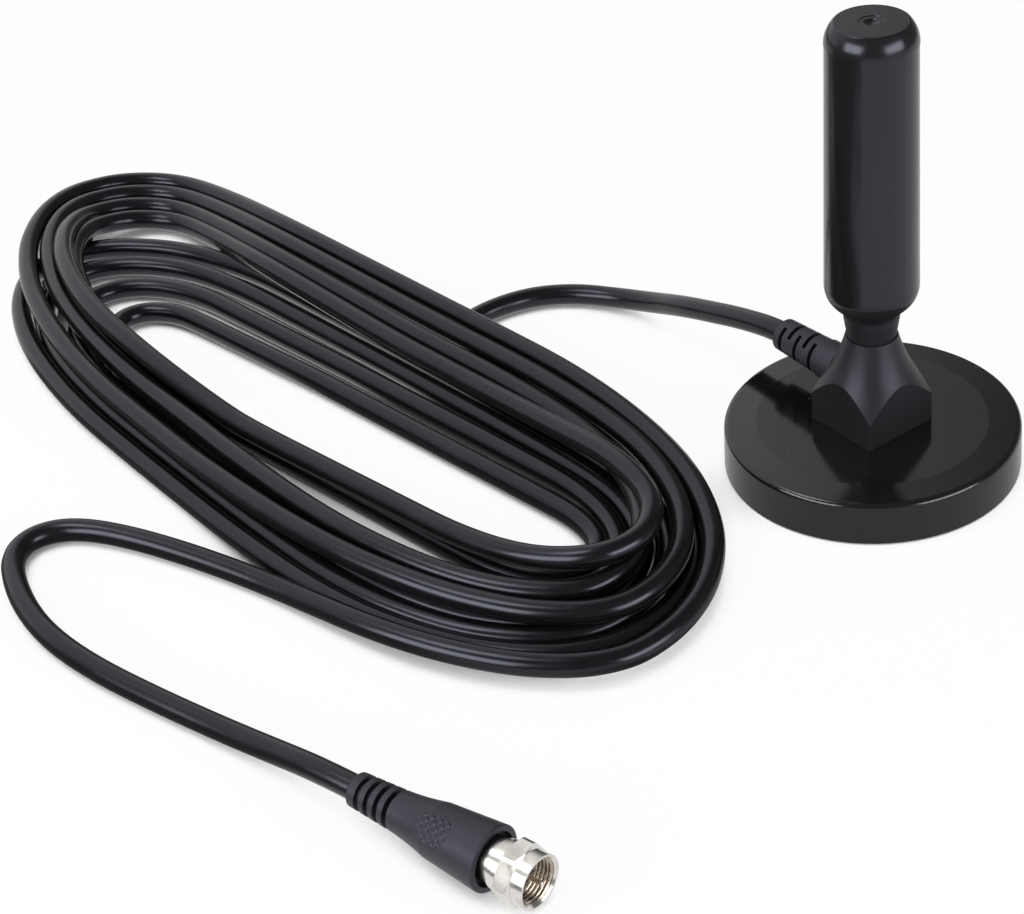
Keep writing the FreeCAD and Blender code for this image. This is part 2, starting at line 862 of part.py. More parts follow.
def plug_place(d):
    """Where the plug lies: its tail at the origin of its own frame, its axis along +Z there."""
    turn = FreeCAD.Rotation(FreeCAD.Vector(0, 0, 1), d.plug_turn.value)
    lay = FreeCAD.Rotation(FreeCAD.Vector(0, 1, 0), 90)
    height = (d.boot_mouth_rad + d.plug_lift).value
    return FreeCAD.Placement(FreeCAD.Vector(d.plug_x.value, d.plug_y.value, height), turn.multiply(lay))


def make_cable_tail(doc, d):
    """Cable from the hank to the plug."""
    place = plug_place(d)
    points = [FreeCAD.Vector(*p) for p in TAIL_POINTS]
    points.append(place.multVec(FreeCAD.Vector(0, 0, -PLUG_RUN)))
    points.append(place.multVec(FreeCAD.Vector(0, 0, 0)))
    return tube_along(doc, "cable_tail", points, d.cable_dia.value / 2)


def belt(sketch, left, left_rad, span, right_rad, tag):
    """Outline like a belt round two discs that lie side by side along X."""
    tilt = (right_rad - left_rad) / span
    level_share = root(number(1) - tilt * tilt)
    x, y = left
    corners = [
        (x - left_rad * tilt, y - left_rad * level_share),
        (x + span - right_rad * tilt, y - right_rad * level_share),
        (x + span + right_rad, y),
        (x + span - right_rad * tilt, y + right_rad * level_share),
        (x - left_rad * tilt, y + left_rad * level_share),
        (x - left_rad, y),
    ]
    bends = {1: (right_rad, True), 2: (right_rad, True), 4: (left_rad, True), 5: (left_rad, True)}
    outline(sketch, corners, bends, tag)


def make_cable_coil(doc, d):
    """Outer shape of the wound hank, a rounded oval with a long opening."""
    body = make_body(doc, "cable_coil")
    margin = d.hank_right_rad * TWO
    sketch = sketch_on(body, "XY_Plane", "hank_sketch")
    belt(sketch, (margin, margin), d.hank_left_rad, d.hank_span, d.hank_right_rad, "o")
    hole = (margin + d.hole_shift_x, margin + d.hole_shift_y)
    belt(sketch, hole, d.hole_left_rad, d.hole_span, d.hole_right_rad, "i")
    slab = pad_up(body, sketch, d.hank_high, "hank_slab")
    doc.recompute()
    body.Tip = round_edges(body, slab, lambda e: not is_upright(e), d.hank_edge_bend, "hank_round")
    corner = FreeCAD.Vector(
        (d.hank_left_x - margin).value, (d.hank_y - margin).value, d.hank_lift.value
    )
    body.Placement = FreeCAD.Placement(corner, FreeCAD.Rotation())
    return body


# Plug


def plug_stations(d):
    """Places along the plug from its tail: mouth, collar's end, nut's seat, flange, face and nut's front."""
    mouth = d.boot_long
    collar_end = mouth + d.collar_out
    nut_back = collar_end + d.end_clear
    flange_back = nut_back + d.nut_lip_thick + d.end_clear
    face = flange_back + d.post_flange_thick
    nut_front = nut_back + d.nut_long
    return SimpleNamespace(
        mouth=mouth,
        collar_start=mouth - d.collar_seat,
        collar_end=collar_end,
        nut_back=nut_back,
        flange_back=flange_back,
        face=face,
        nut_front=nut_front,
    )


def make_plug_boot(doc, d):
    """Moulded grip: ringed tail, hollow-curved flare and a recessed mouth that holds the collar."""
    body = make_body(doc, "plug_boot")
    at = plug_stations(d)
    bore = d.collar_rad + d.slip_fit
    bevel = d.boot_mouth_bend
    corners = [
        (ZERO, ZERO),
        (d.boot_tail_rad - d.boot_tail_bevel, ZERO),
        (d.boot_tail_rad, d.boot_tail_bevel),
        (d.boot_waist_rad, d.boot_waist_at),
        (d.boot_flare_rad, d.boot_flare_at),
        (d.boot_mouth_rad, at.mouth - bevel),
        (d.boot_mouth_rad - bevel, at.mouth),
        (d.boot_recess_rad, at.mouth),
        (d.boot_recess_rad, at.mouth - d.boot_recess_deep),
        (bore, at.mouth - d.boot_recess_deep),
        (bore, at.collar_start - d.slip_fit),
        (ZERO, at.collar_start - d.slip_fit),
    ]
    bends = {3: (d.boot_flare_bend, False), 5: (bevel, True)}
    turned(body, corners, bends, name="grip")
    core = d.boot_tail_rad - d.ring_deep
    outer = d.boot_waist_rad + d.ring_deep
    ring = box_corners(core, outer, d.ring_first, d.ring_first + d.ring_wide)
    cut = turned_cut(body, ring, "ring_cut")
    repeat_along(body, cut, d.ring_pitch, BOOT_RING_COUNT, "ring_cuts")
    body.Placement = plug_place(d)
    return body


def make_plug_collar(doc, d):
    """Plated ring between the boot and the nut."""
    body = make_body(doc, "plug_collar")
    at = plug_stations(d)
    bore = d.post_rad + d.slip_fit
    corners = [
        (bore, at.collar_start),
        (d.collar_rad, at.collar_start),
        (d.collar_rad, at.collar_end - d.collar_lip_long),
        (d.collar_lip_rad, at.collar_end - d.collar_lip_long),
        (d.collar_lip_rad, at.collar_end),
        (bore, at.collar_end),
    ]
    turned(body, corners, name="ring")
    body.Placement = plug_place(d)
    return body


def make_plug_post(doc, d):
    """Flanged tube that carries the nut: body in the collar, journal in the nut's lip, flange in front."""
    body = make_body(doc, "plug_post")
    at = plug_stations(d)
    bore = d.core_rad + d.slip_fit
    corners = [
        (bore, at.collar_start),
        (d.post_rad, at.collar_start),
        (d.post_rad, at.collar_end),
        (d.journal_rad, at.collar_end),
        (d.journal_rad, at.flange_back),
        (d.post_flange_rad, at.flange_back),
        (d.post_flange_rad, at.face),
        (bore, at.face),
    ]
    turned(body, corners, name="tube")
    body.Placement = plug_place(d)
    return body


def make_plug_core(doc, d):
    """Pale insulator inside the post, level with its flange."""
    body = make_body(doc, "plug_core")
    at = plug_stations(d)
    turned(body, box_corners(ZERO, d.core_rad, at.collar_start, at.face), name="core")
    body.Placement = plug_place(d)
    return body


def make_plug_pin(doc, d):
    """Centre conductor that stands out of the insulator, a little past the nut."""
    body = make_body(doc, "plug_pin")
    at = plug_stations(d)
    tip = at.nut_front + d.pin_out
    corners = [
        (ZERO, at.face),
        (d.pin_rad, at.face),
        (d.pin_rad, tip - d.pin_bevel),
        (d.pin_rad - d.pin_bevel, tip),
        (ZERO, tip),
    ]
    turned(body, corners, name="pin")
    body.Placement = plug_place(d)
    return body


def make_plug_nut(doc, d):
    """Coupling nut: round tail, short hexagon, round front ring, and a lip that rides on the post."""
    body = make_body(doc, "plug_nut")
    at = plug_stations(d)
    flat = d.nut_flats / TWO
    lip = d.journal_rad + d.run_clear
    lip_front = at.nut_back + d.nut_lip_thick
    tail_end = at.nut_back + d.nut_tail_long
    hex_back = tail_end + d.nut_step
    hex_front = hex_back + d.nut_hex_long
    corners = [
        (lip, at.nut_back),
        (d.nut_tail_rad, at.nut_back),
        (d.nut_tail_rad, tail_end),
        (d.nut_corner_rad, hex_back),
        (d.nut_corner_rad, hex_front),
        (d.nut_ring_rad, hex_front + d.nut_step),
        (d.nut_ring_rad, at.nut_front),
        (d.nut_bore_rad + d.nut_mouth_bevel, at.nut_front),
        (d.nut_bore_rad, at.nut_front - d.nut_mouth_bevel),
        (d.nut_bore_rad, lip_front),
        (lip, lip_front),
    ]
    turned(body, corners, name="blank")
    doc.recompute()
    sketch = sketch_on(body, "XZ_Plane", "flat_sketch")
    outline(sketch, box_corners(flat, d.nut_flats, at.nut_back, at.nut_front))
    cut = body.newObject("PartDesign::Pocket", "flat_cut")
    cut.Profile = sketch
    cut.Type = "Length"
    cut.SideType = "Symmetric"
    cut.setExpression("Length", d.nut_flats.text + " * 2")
    repeat_round(body, cut, NUT_SIDES, "flat_cuts")
    body.Placement = plug_place(d)
    return body


MAKERS = [
    make_base_cover,
    make_base_yoke,
    make_base_magnet,
    make_base_pad,
    make_hub,
    make_hub_screws,
    make_mast_tube,
    make_mast_cap,
    make_element_board,
    make_element_foil,
    make_feed_wire,
    make_strain_relief,
    make_cable_lead,
    make_cable_coil,
    make_cable_tail,
    make_plug_boot,
    make_plug_collar,
    make_plug_post,
    make_plug_core,
    make_plug_pin,
    make_plug_nut,
]


def check_all(doc, pieces):
    """Stop if any object failed or any sub-part isn't a sound solid."""
    for obj in doc.Objects:
        if "Invalid" in obj.State or "Error" in obj.State:
            raise RuntimeError(f"{obj.Name} failed: {obj.State}")
    for piece in pieces:
        shape = piece.Shape
        if shape.isNull() or not shape.isValid() or not shape.Solids:
            raise RuntimeError(f"{piece.Label} is not a sound solid")


def main():
    """Build every sub-part and write each to its own file."""
    doc = FreeCAD.newDocument("tv_antenna")
    sizes = make_sheet(doc)
    pieces = [maker(doc, sizes) for maker in MAKERS]
    doc.recompute()
    check_all(doc, pieces)
    os.makedirs("parts", exist_ok=True)
    for piece in pieces:
        piece.Shape.exportStep(f"parts/{piece.Label}.step")
        box = piece.Shape.BoundBox
        print(
            piece.Label,
            "solids", len(piece.Shape.Solids),
            "volume", round(piece.Shape.Volume, 1),
            "z", round(box.ZMin, 2), round(box.ZMax, 2),
        )


main()
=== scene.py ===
# %% [markdown]
# # A small TV antenna on a white table
# The object is an indoor antenna: a black rod on a round magnetic base, with some four metres of coax cable
# wound by hand into a loose hank, and an F plug on its end. The rigid parts come from CAD as a fixed frame.
# This lesson gives them their finishes and adds what CAD leaves plain: the real cable, the nut's thread and
# the grip on the plug. Everything is in metres, in the CAD frame: +Z goes up the rod, and the cable leaves
# to -X.

import math

import bpy
import numpy as np
from mathutils import Matrix


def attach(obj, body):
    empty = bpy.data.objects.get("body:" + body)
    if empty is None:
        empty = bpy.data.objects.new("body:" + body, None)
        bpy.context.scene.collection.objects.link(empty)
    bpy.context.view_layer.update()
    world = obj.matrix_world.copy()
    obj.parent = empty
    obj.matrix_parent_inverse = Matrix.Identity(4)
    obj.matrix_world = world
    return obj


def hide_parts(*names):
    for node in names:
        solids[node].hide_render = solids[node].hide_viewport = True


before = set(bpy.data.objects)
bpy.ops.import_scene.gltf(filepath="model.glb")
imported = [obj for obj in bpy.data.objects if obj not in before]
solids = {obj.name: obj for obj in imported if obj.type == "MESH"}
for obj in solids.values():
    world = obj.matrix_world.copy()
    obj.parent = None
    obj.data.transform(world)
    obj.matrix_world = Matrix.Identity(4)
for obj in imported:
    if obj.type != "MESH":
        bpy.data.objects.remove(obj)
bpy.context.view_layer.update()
MM = 0.001

# %% [markdown]
# ## Camera
# The rod's sides, the base's two circles and the hub's corners fix where the photograph was taken from:
# about half a metre away, 35 degrees above the table, with the camera turned slightly on its axis, so the
# rod stands upright in the picture although it is off to one side. A camera could be pointed with a Track
# To constraint, but that can't hold the turn, so the three directions are worked out and given as a matrix.

# %% Camera
EYE = (0.30423, -0.29039, 0.29926)
YAW, PITCH, ROLL = np.radians([56.87, 35.004, -6.108])
LENS_MM, SENSOR_MM = 83.463, 36.0


def aim(yaw, pitch, roll):
    """Camera axes as columns: turn about the vertical by yaw, look down by pitch, roll about the view."""
    ahead = np.array([-math.sin(yaw) * math.cos(pitch), math.cos(yaw) * math.cos(pitch), -math.sin(pitch)])
    level = np.array([math.cos(yaw), math.sin(yaw), 0.0])
    above = np.cross(level, ahead)
    right = math.cos(roll) * level + math.sin(roll) * above
    top = math.cos(roll) * above - math.sin(roll) * level
    return Matrix(np.column_stack([right, top, -ahead]).tolist())


lens = bpy.data.cameras.new("photo_camera")
lens.lens, lens.sensor_width, lens.sensor_fit = LENS_MM, SENSOR_MM, "HORIZONTAL"
lens.clip_start, lens.clip_end = 0.01, 20.0
camera = bpy.data.objects.new("photo_camera", lens)
camera.matrix_world = Matrix.Translation(EYE) @ aim(YAW, PITCH, ROLL).to_4x4()
bpy.context.scene.collection.objects.link(camera)
bpy.context.scene.camera = camera
print("camera: lens", LENS_MM, "mm at", EYE)

# %% [markdown]
# ## Cable: where it goes
# The cable is one length of 5 mm coax. It leaves the strain relief level, sinks to the table, runs under
# the hank, goes round eight and a half times, comes out at the front, folds back on itself and ends in the
# plug. A tube could be swept along arcs, but real cable has no arcs and straights, only one long easing
# line, so its points are the control points of a single NURBS curve. The first and last stretches repeat
# the CAD route.

# %% Points before and after the hank
LEAD = [
    (-27.0, 0.0, 18.6),
    (-31.0, 0.0, 18.6),
    (-43.0, 0.0, 15.9),
    (-52.0, 0.0, 13.3),
    (-62.0, 0.0, 10.4),
    (-74.0, 1.0, 5.6),
    (-85.0, -1.0, 2.9),
    (-94.5, -6.8, 2.6),
    (-101.0, -15.5, 2.6),
    (-103.3, -26.0, 2.6),
    (-102.2, -35.5, 2.6),
    (-96.0, -42.6, 2.6),
    (-85.0, -45.3, 2.6),
]
TAIL = [
    (-46.0, -121.5, 2.6),
    (-58.0, -125.4, 2.6),
    (-71.0, -130.3, 2.6),
    (-83.0, -135.7, 2.6),
    (-92.0, -141.1, 2.6),
    (-97.1, -146.7, 2.6),
    (-98.2, -153.2, 2.6),
    (-94.4, -158.6, 2.6),
    (-87.0, -161.9, 2.6),
    (-76.0, -164.4, 2.6),
    (-64.0, -164.9, 2.6),
    (-50.0, -162.8, 2.6),
    (-34.0, -158.4, 2.6),
    (-18.0, -153.5, 2.8),
    (-4.0, -149.8, 4.2),
    (9.395, -146.984, 6.55),
    (18.1, -144.7, 6.55),
]
print("route:", len(LEAD), "points to the hank and", len(TAIL), "after it")

# %% [markdown]
# ## Cable: the hank
# The hank is a long flat loop, wider at the right. Four turns lie on the table, a fifth starts there and
# climbs on to them at the left, and four more lie on top and come down at the left, past the ends of the
# lower ones. The first of those crosses over its neighbours. One oval could be repeated with a small step,
# but a hank wound by hand isn't so even, so each turn has its own sizes. A turn is four quarters: each
# starts at the middle of a long side, runs straight with a little lean, and ends as a quarter of an ellipse
# at the fold.

# %% The turns' sizes, in millimetres about the hank's middle
BACK = [26.0, 20.0, 13.4, 6.2, -1.4, 20.2, 25.3, 31.8, 37.8]
RIGHT = [119.6, 113.8, 108.4, 103.2, 96.5, 94.6, 101.2, 109.8, 123.2]
RIGHT_TIP = [-8.0, -8.0, -8.0, -8.0, -3.5, 8.0, -2.0, -1.0, -9.3]
FRONT = [-48.3, -43.2, -38.1, -33.0, -27.2, -24.8, -31.8, -39.5, -57.0]
FRONT_LEAN = [0.0, 0.0, 0.0, 0.0, 0.13, 0.15, -0.06, -0.03, 0.0]
BACK_ROUND = [1.2, 1.2, 1.2, 1.2, 1.0, 1.4, 1.76, 1.68, 1.6]
FRONT_ROUND = [1.8, 1.8, 1.8, 1.8, 1.0, 1.25, 9.0, 9.0, 9.0]
RIGHT_LEAN = [0.07, 0.0625, 0.077, 0.106, 0.11, 0.08, 0.08, 0.08, 0.08]
LEFT = [-98.0, -87.0, -74.0, -59.5, -103.8, -110.6, -117.2, -123.8]
LEFT_TIP = [-18.0, -18.0, -18.0, -18.0, -0.647, 1.699, 3.976, 6.253]
LEFT_LEAN = [0.08, 0.1, 0.12, 0.14, 0.036, 0.04722, 0.06152, 0.07472]
LEFT_BACK_ROUND = [1.6, 1.53, 1.46, 1.39, 1.2, 1.2, 1.2, 1.2]
LEFT_FRONT_ROUND = [2.5, 2.3, 2.1, 1.9, 2.85, 2.6, 2.35, 2.1]
CLIMB, CROSS = 4, 5
LAST = len(BACK) - 1
SPREAD = np.array([0.05, 0.28, 0.49, 0.66, 0.80, 0.91, 1.0])


def quarter(middle, tip, squash, lean):
    """Straight run from the side's middle, leaning by lean, then a quarter ellipse to the tip.

    The ellipse is squash times as long as it is high; SPREAD shares the points out along both.
    """
    rise = middle + lean * tip[0] - tip[1]
    reach = abs(tip[0])
    long = min(squash * abs(rise), reach)
    arc = math.pi / 2 * math.sqrt((long**2 + rise**2) / 2)
    along = SPREAD * (reach - long + arc)
    angle = np.clip((along - reach + long) / arc, 0, 1) * math.pi / 2
    u = math.copysign(1, tip[0]) * (np.minimum(along, reach - long) + long * np.sin(angle))
    return u, tip[1] + (middle + lean * u - tip[1]) * np.cos(angle)


print("hank:", LAST + 1, "turns, outermost", RIGHT[-1] - LEFT[-1], "mm long")

# %% Place a quarter on the table
TABLE_Z, TOP_Z, SEEN_Z = 2.6, 7.7, 5.0
SEEN_SLIDE = (1.24, -0.71)
HANK_MIDDLE = (-101.7, -73.3)
HANK_TURN = 0.027


def lay(u, v, lift):
    """Points in the frame: lift 0 is on the table, 1 on the lower turns and 2 on the upper ones.

    u and v are as the camera sees them at SEEN_Z, so a higher point slides towards the camera.
    """
    z = TABLE_Z + (TOP_Z - TABLE_Z) * lift
    u = u + (z - SEEN_Z) * SEEN_SLIDE[0]
    v = v + (z - SEEN_Z) * SEEN_SLIDE[1]
    cos, sin = math.cos(HANK_TURN), math.sin(HANK_TURN)
    return np.stack([HANK_MIDDLE[0] + cos * u - sin * v, HANK_MIDDLE[1] + sin * u + cos * v, z], axis=1)


# Lift of each point of a quarter, from the middle of the side to the fold
FLAT, ON_TOP = np.zeros(len(SPREAD)), np.ones(len(SPREAD))
CLIMB_FRONT = np.array([0.1, 0.75, 1, 1, 1, 0.95, 0.6])
LEAVE_BACK = np.array([1, 1, 1, 0.9, 0.7, 0.55, 0.5])
LEAVE_FRONT = np.array([0, 0, 0.5, 0.5, 0.5, 0.5, 0.5])
CROSS_BACK = np.array([1, 1, 1.4, 2, 2, 2, 2])
CROSS_FRONT = np.array([1, 1, 1, 1.1, 1.5, 2, 2])
OVER_FRONT = np.array([1.1, 1.75, 2, 2, 1.8, 1.3, 0.6])
DROP_FRONT = np.array([1, 1, 1, 1, 1, 0.95, 0.6])
DROP_BACK = np.array([1, 1, 0.95, 0.35, 0, 0.25, 0.6])


def right_half(turn):
    """Back quarter out to the right fold, then the front quarter back to the middle."""
    high = turn > CLIMB
    tip = (RIGHT[turn], RIGHT_TIP[turn])
    back = quarter(BACK[turn], tip, BACK_ROUND[turn], RIGHT_LEAN[turn])
    front = quarter(FRONT[turn], tip, FRONT_ROUND[turn], FRONT_LEAN[turn])
    rise = {CROSS: CROSS_BACK, LAST: LEAVE_BACK}.get(turn, ON_TOP * high)
    fall = {CROSS: CROSS_FRONT, LAST: LEAVE_FRONT}.get(turn, ON_TOP * high)
    return np.concatenate([lay(*back, rise), lay(*front, fall)[-2::-1]])


def left_half(turn):
    """Front quarter out to the left fold, then the next turn's back quarter to the middle."""
    high = turn >= CLIMB
    tip = (LEFT[turn], LEFT_TIP[turn])
    front = quarter(FRONT[turn], tip, LEFT_FRONT_ROUND[turn], 0.0)
    back = quarter(BACK[turn + 1], tip, LEFT_BACK_ROUND[turn], LEFT_LEAN[turn])
    fall = {CLIMB: CLIMB_FRONT, CROSS: OVER_FRONT}.get(turn, DROP_FRONT if high else FLAT)
    rise = DROP_BACK if high else FLAT
    return np.concatenate([lay(*front, fall), lay(*back, rise)[-2::-1]])


LEAVES_AT = 11
halves = [half(turn) for turn in range(LAST) for half in (right_half, left_half)]
halves[0] = halves[0][1:]
halves.append(right_half(LAST)[:LEAVES_AT])
route = np.concatenate([np.array(LEAD), *halves, np.array(TAIL)]) * MM
print("cable:", len(route), "control points")

# %% One curve for the whole cable
CABLE_RADIUS = 2.5 * MM
path = bpy.data.curves.new("cable", "CURVE")
path.dimensions = "3D"
spline = path.splines.new("NURBS")
spline.points.add(len(route) - 1)
spline.points.foreach_set("co", np.column_stack([route, np.ones(len(route))]).ravel())
spline.order_u = 3
spline.use_endpoint_u = True
spline.resolution_u = 8
spline.use_smooth = True
# The points carry the radius and the bevel is one unit of it, so the curve's box is as thick as the cable.
spline.points.foreach_set("radius", np.full(len(route), CABLE_RADIUS))
path.bevel_depth, path.bevel_resolution, path.use_fill_caps = 1.0, 6, True
cable = bpy.data.objects.new("cable", path)
bpy.context.scene.collection.objects.link(cable)
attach(cable, "antenna")
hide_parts("cable_lead", "cable_coil", "cable_tail")
print("cable:", round(spline.calc_length(), 3), "m long")

# %% [markdown]
# ## Plug: the nut's thread
# Inside the hexagon nut runs a fine thread, 32 turns to the inch, and the photograph looks straight into
# it. A Screw modifier could spin a tooth up the bore, but a surface is simpler to keep closed: round the
# axis goes one parameter, along the bore goes the other, and the radius is a saw of ridges that slides
# along by one pitch for each time round. A plain outer wall, hidden in the nut, closes the sleeve.

# %% The plug's own axes
PLUG_FOOT = np.array([18.1, -144.7, 6.55]) * MM
PLUG_AXIS = np.array([0.9672678, 0.2537579, 0.0])
PLUG_UP = np.array([0.0, 0.0, 1.0])
PLUG_SIDE = np.cross(PLUG_UP, PLUG_AXIS)


def round_plug(along, radius, angle):
    """Points at that distance along the plug and from its axis; angle 0 is up and grows to the far side."""
    out = np.cos(angle)[..., None] * PLUG_UP + np.sin(angle)[..., None] * PLUG_SIDE
    return PLUG_FOOT + along[..., None] * PLUG_AXIS + radius[..., None] * out


def ring_mesh(name, grid):
    """Mesh of a grid of points that closes on itself both ways, with its faces pointing out."""
    rows, columns = grid.shape[:2]
    index = np.arange(rows * columns).reshape(rows, columns)
    down, across = np.roll(index, -1, axis=0), np.roll(index, -1, axis=1)
    both = np.roll(down, -1, axis=1)
    faces = np.stack([index, across, both, down], axis=-1).reshape(-1, 4)
    mesh = bpy.data.meshes.new(name)
    mesh.from_pydata(grid.reshape(-1, 3), [], faces.tolist())
    mesh.shade_smooth()
    made = bpy.data.objects.new(name, mesh)
    bpy.context.scene.collection.objects.link(made)
    return made


print("plug axis:", PLUG_AXIS.tolist())

# %% Thread sleeve
THREAD_FROM, THREAD_TO = 37.75 * MM, 41.9 * MM
PITCH_LONG = 25.4 / 32 * MM
BORE, TOOTH, BURIED = 4.42 * MM, 0.42 * MM, 4.5 * MM
CREST_WIDTH, FLANK_SLOPE = 1.25, 2.6


def thread_sleeve(steps_round, steps_along):
    """Radius is the bore less a saw of ridges; the saw's phase is (along / pitch - turns round).

    The ridges fade out at both ends, and two more rows of points close the sleeve behind the bore.
    """
    angle = np.linspace(0, 2 * math.pi, steps_round, endpoint=False)
    along = np.linspace(THREAD_FROM, THREAD_TO, steps_along)
    phase = along[:, None] / PITCH_LONG - angle[None, :] / (2 * math.pi)
    saw = np.clip(CREST_WIDTH - FLANK_SLOPE * np.abs(phase - np.round(phase)), 0, 1)
    ends = np.minimum(along - THREAD_FROM, THREAD_TO - along)[:, None] / PITCH_LONG
    inner = BORE - TOOTH * saw * np.clip(2 * ends, 0, 1)
    radius = np.vstack([inner, np.full((2, steps_round), BURIED)])
    along = np.concatenate([along, [THREAD_TO, THREAD_FROM]])
    spread = np.broadcast_to(along[:, None], radius.shape)
    return round_plug(spread, radius, np.broadcast_to(angle, radius.shape))


thread = ring_mesh("nut_thread", thread_sleeve(steps_round=96, steps_along=120))
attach(thread, "coupling_nut")
print("thread:", len(thread.data.polygons), "faces")

# %% [markdown]
# ## Plug: the boot's grip
# The soft boot has a small patch of raised dots where finger and thumb take hold of it. The dots could be a
# bump in the material, but they catch the light along their edges, so they are real: a patch of the boot's
# own cone, lifted by a grid of round hills. A second sheet, sunk into the boot, shares its border and
# closes it.

# %% Grip dots
GRIP_FROM, GRIP_TO = 17.6 * MM, 25.2 * MM
GRIP_MIDDLE, GRIP_HALF = math.radians(-40.0), math.radians(30.0)
DOT_ROWS, DOT_COLUMNS = 8, 7
DOT_HIGH, GRIP_SKIN, GRIP_SUNK = 0.24 * MM, 0.02 * MM, 0.5 * MM
BORDER_SLOPE, HILL_POWER = 4, 1.5
BOOT_STATIONS = np.array([11.0, 19.5, 32.3]) * MM
BOOT_RADII = np.array([4.0, 5.4, 6.45]) * MM


def grip_patch(steps_along, steps_round):
    """Hills are two slanted sine waves multiplied, faded over a rounded border; the cone carries them."""
    u, v = np.meshgrid(np.linspace(-1, 1, steps_along), np.linspace(-1, 1, steps_round), indexing="ij")
    along = GRIP_FROM + (GRIP_TO - GRIP_FROM) * (u + 1) / 2
    cone = np.interp(along, BOOT_STATIONS, BOOT_RADII)
    row, column = (u + 1) / 2 * DOT_ROWS, (v + 1) / 2 * DOT_COLUMNS
    hills = np.abs(np.sin(math.pi * (row + column) / 2) * np.sin(math.pi * (row - column) / 2))
    border = np.clip(BORDER_SLOPE * (1 - (np.abs(u) ** 3 + np.abs(v) ** 3)), 0, 1)
    rise = np.where(border > 0, GRIP_SKIN + DOT_HIGH * border * hills**HILL_POWER, -GRIP_SUNK / 4)
    angle = GRIP_MIDDLE + GRIP_HALF * v
    return round_plug(along, cone + rise, angle), round_plug(along, cone - GRIP_SUNK, angle)


def closed_patch(name, top, under):
    """Mesh of two sheets of the same grid that share their border, faces pointing out."""
    rows, columns = top.shape[:2]
    index = np.arange(rows * columns).reshape(rows, columns)
    below = index + rows * columns
    below[[0, -1], :], below[:, [0, -1]] = index[[0, -1], :], index[:, [0, -1]]
    quads = [np.stack([g[:-1, :-1], g[1:, :-1], g[1:, 1:], g[:-1, 1:]], axis=-1) for g in (index, below)]
    faces = np.concatenate([quads[0].reshape(-1, 4), quads[1].reshape(-1, 4)[:, ::-1]])
    used, faces = np.unique(faces, return_inverse=True)
    points = np.concatenate([top.reshape(-1, 3), under.reshape(-1, 3)])[used]
    mesh = bpy.data.meshes.new(name)
    mesh.from_pydata(points, [], faces.reshape(-1, 4).tolist())
    mesh.shade_smooth()
    made = bpy.data.objects.new(name, mesh)
    bpy.context.scene.collection.objects.link(made)
    return made


grip = closed_patch("boot_grip", *grip_patch(steps_along=97, steps_round=85))
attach(grip, "antenna")
print("grip:", len(grip.data.polygons), "faces")

# %% [markdown]
# ## Floor and light
# The picture was taken on white paper, with soft boxes at the left, at the right and above. Lamps alone
# could light it, but black plastic shows little besides what it mirrors, so the room counts for more. In
# mirrors there is a white sweep on the far side and a dim room on the near side. In mirrors the paper is a
# glow with painted shade: a darker grey close to the base, and dim in a wedge on the near side and far
# away, where the light doesn't reach it. To the camera the background and the paper are plain white. The
# paper goes dark in the narrow gaps between the strands, and it keeps a little of the object's shadow.

# %% Helpers for shader nodes


def feed(tree, socket, value):
    """Link an output to this socket, or set the socket's own value."""
    if isinstance(value, bpy.types.NodeSocket):
        tree.links.new(value, socket)
    else:
        socket.default_value = value


def add(tree, kind, settings=None, **inputs):
    """Add a node, set its options, and give each named input a value or a link."""
    made = tree.nodes.new(kind)
    for option, value in (settings or {}).items():
        setattr(made, option, value)
    for label, value in inputs.items():
        feed(tree, made.inputs[label.replace("_", " ")], value)
    return made


def math_node(tree, operation, *values):
    """Math node on up to three values or links; gives back its output."""
    made = add(tree, "ShaderNodeMath", {"operation": operation})
    for socket, value in zip(made.inputs, values):
        feed(tree, socket, value)
    return made.outputs[0]


def blend_colours(tree, share, first, second):
    """Mix of two colours, each a value or a link."""
    made = add(tree, "ShaderNodeMix", {"data_type": "RGBA"})
    for socket, value in zip((made.inputs[0], made.inputs[6], made.inputs[7]), (share, first, second)):
        feed(tree, socket, value)
    return made.outputs[2]


def ramp(tree, value, start, end):
    """0 before start, 1 after end, eased between; start may be the larger."""
    made = add(tree, "ShaderNodeMapRange", {"interpolation_type": "SMOOTHSTEP"}, Value=value)
    made.inputs["From Min"].default_value, made.inputs["From Max"].default_value = start, end
    return made.outputs[0]


print("helpers ready")

# %% World
ROOM_GREY = (0.42, 0.42, 0.425, 1)
DIM_SIDE = (0.16, 0.16, 0.165, 1)
WHITE = (1, 1, 1, 1)
SWEEP_WAY = (-0.9936, -0.1132, 0.5)
SWEEP_FROM, SWEEP_TO = 0.66, 0.96
world = bpy.data.worlds.new("white_room")
bpy.context.scene.world = world
world.use_nodes = True
sky = world.node_tree
sky.nodes.clear()
way = add(sky, "ShaderNodeTexCoord").outputs["Generated"]
facing = add(sky, "ShaderNodeVectorMath", {"operation": "DOT_PRODUCT"})
sky.links.new(way, facing.inputs[0])
facing.inputs[1].default_value = SWEEP_WAY
sweep = blend_colours(sky, ramp(sky, facing.outputs["Value"], SWEEP_FROM, SWEEP_TO), DIM_SIDE, WHITE)
ray = add(sky, "ShaderNodeLightPath").outputs
mirrored = blend_colours(sky, ray["Is Glossy Ray"], ROOM_GREY, sweep)
direct = math_node(sky, "MAXIMUM", ray["Is Camera Ray"], ray["Is Transmission Ray"])
room = add(sky, "ShaderNodeBackground", Color=blend_colours(sky, direct, mirrored, WHITE), Strength=1.0)
sky.links.new(room.outputs[0], add(sky, "ShaderNodeOutputWorld").inputs["Surface"])
bpy.context.scene.view_settings.view_transform = "Standard"
print("world: a white sweep on the far side, a dimmer room on the near one")

